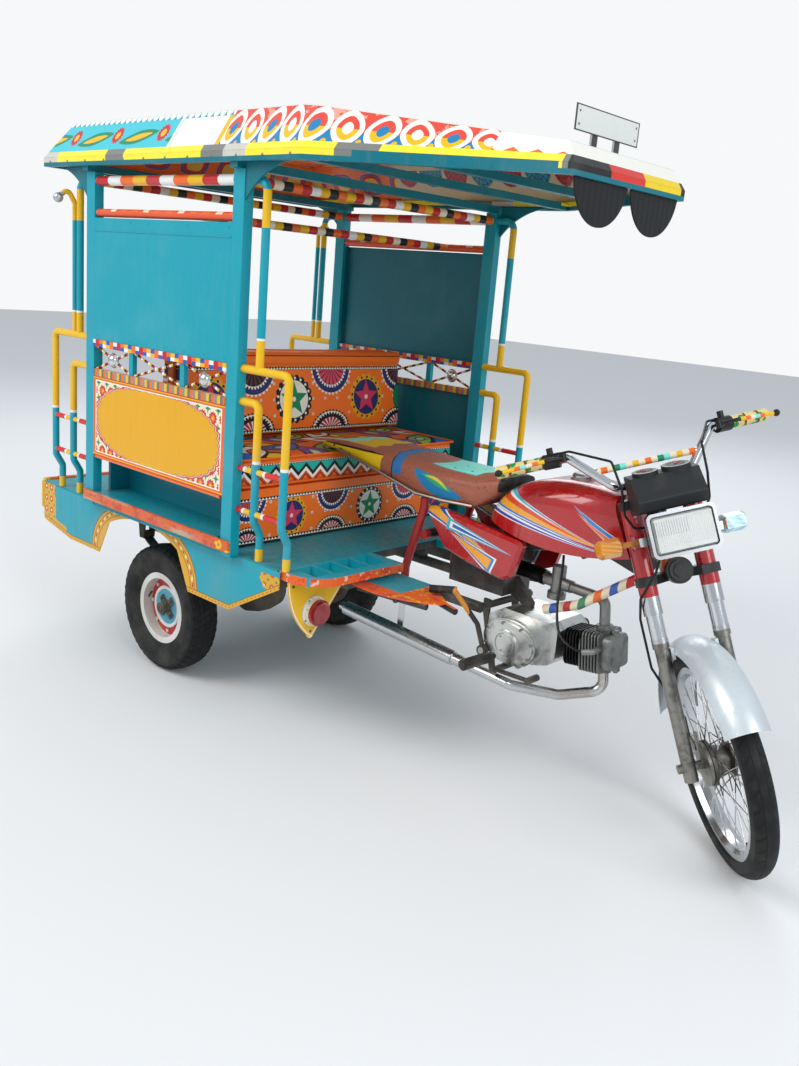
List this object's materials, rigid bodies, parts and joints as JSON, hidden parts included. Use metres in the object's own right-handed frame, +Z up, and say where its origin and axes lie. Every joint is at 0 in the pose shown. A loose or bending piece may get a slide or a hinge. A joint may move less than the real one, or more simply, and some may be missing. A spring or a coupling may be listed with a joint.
{
  "type": "motorcycle rickshaw",
  "caption": "Motorcycle front half joined to a roofed passenger cabin with back-to-back benches, painted side panels, guard rails and a long visor over the driver.",
  "frame": {"origin": "on the ground under the middle of the bounding box", "axes": "+X forward, +Y to the vehicle's left, +Z up"},
  "size_m": [2.605, 1.1658, 1.7259],
  "materials": {
    "motorcycle_frame": "black paint, banded front strut",
    "fuel_tank": "gloss red with stripes",
    "side_covers": "gloss red with stripes",
    "driver_saddle": "brown vinyl with stitched shapes",
    "engine_crankcase": "dull cast aluminium",
    "engine_cylinder": "black barrel, grey head",
    "carburettor": "cast body with black hose",
    "exhaust": "chrome, heat stained",
    "foot_controls": "yellow and black",
    "rear_axle": "black paint, dusty",
    "chassis_frame": "orange and yellow paint",
    "side_skirts": "turquoise with a yellow border",
    "cabin_floor": "turquoise paint, worn",
    "entry_platform": "orange and patterned paint",
    "foot_plates": "worn plate with an orange band",
    "marker_lamps": "red lens, white ring",
    "cabin_posts": "turquoise, banded rails",
    "side_panels": "turquoise above, painted yellow below",
    "gallery_rails": "banded strips and chrome domes",
    "guard_rails": "yellow and turquoise tube",
    "bench_frames": "painted panels with round medallions",
    "bench_cushions": "padded vinyl with zigzag bands",
    "bench_backrests": "padded vinyl with star medallions",
    "roof_frame": "dark turquoise frame",
    "roof_skin": "painted sheet with patterned fascia",
    "visor_flaps": "black rubber sheet",
    "number_plate": "blank white plate",
    "fork_legs": "chrome",
    "fork_covers": "gloss red paint",
    "steering_yokes": "black paint",
    "front_fender": "silver-grey paint",
    "headlight_housing": "chrome and black",
    "headlight_lens": "ribbed clear lens",
    "instrument_housing": "dark grey plastic",
    "turn_signals": "amber lens",
    "handlebar": "chrome",
    "grips": "cream rubber with green dots",
    "control_levers": "black with taped bands",
    "control_cables": "black sleeve",
    "tyre": "matt black rubber",
    "front_wheel_rim": "dull chrome",
    "rear_wheel": "white rim, red ring and blue hub"
  },
  "bodies": {
    "vehicle": {"motorcycle_frame": "motorcycle_frame", "fuel_tank": "fuel_tank", "side_covers": "side_covers", "driver_saddle": "driver_saddle", "engine_crankcase": "engine_crankcase", "engine_cylinder": "engine_cylinder", "carburettor": "carburettor", "exhaust": "exhaust", "foot_controls": "foot_controls", "rear_axle": "rear_axle", "chassis_frame": "chassis_frame", "side_skirts": "side_skirts", "cabin_floor": "cabin_floor", "entry_platform": "entry_platform", "foot_plates": "foot_plates", "marker_lamps": "marker_lamps", "cabin_posts": "cabin_posts", "side_panels": "side_panels", "gallery_rails": "gallery_rails", "guard_rails": "guard_rails", "bench_frames": "bench_frames", "bench_cushions": "bench_cushions", "bench_backrests": "bench_backrests", "roof_frame": "roof_frame", "roof_skin": "roof_skin", "visor_flaps": "visor_flaps", "number_plate": "number_plate"},
    "steering": {"fork_legs": "fork_legs", "fork_covers": "fork_covers", "steering_yokes": "steering_yokes", "front_fender": "front_fender", "headlight_housing": "headlight_housing", "headlight_lens": "headlight_lens", "instrument_housing": "instrument_housing", "turn_signals": "turn_signals", "handlebar": "handlebar", "grips": "grips", "control_levers": "control_levers", "control_cables": "control_cables"},
    "front_wheel": {"front_tyre": "tyre", "front_wheel_rim": "front_wheel_rim"},
    "rear_wheel_right": {"rear_tyre_right": "tyre", "rear_wheel_right": "rear_wheel"},
    "rear_wheel_left": {"rear_tyre_left": "tyre", "rear_wheel_left": "rear_wheel"}
  },
  "joints": [
    {"name": "steering", "type": "hinge", "parent": "vehicle", "child": "steering", "pos_m": [1.1665, 0, -0.00427], "axis": [-0.3987, 0, 0.9171], "range_deg": [0, 90]},
    {"name": "front_wheel", "type": "hinge", "parent": "steering", "child": "front_wheel", "pos_m": [1.08714, -0.03385, 0.26314], "axis": [0.6485, 0.7071, 0.282], "continuous": true},
    {"name": "rear_wheel_right", "type": "hinge", "parent": "vehicle", "child": "rear_wheel_right", "pos_m": [-0.665, -0.375, 0.208], "axis": [0, 1, 0], "continuous": true},
    {"name": "rear_wheel_left", "type": "hinge", "parent": "vehicle", "child": "rear_wheel_left", "pos_m": [-0.665, 0.375, 0.208], "axis": [0, 1, 0], "continuous": true}
  ]
}
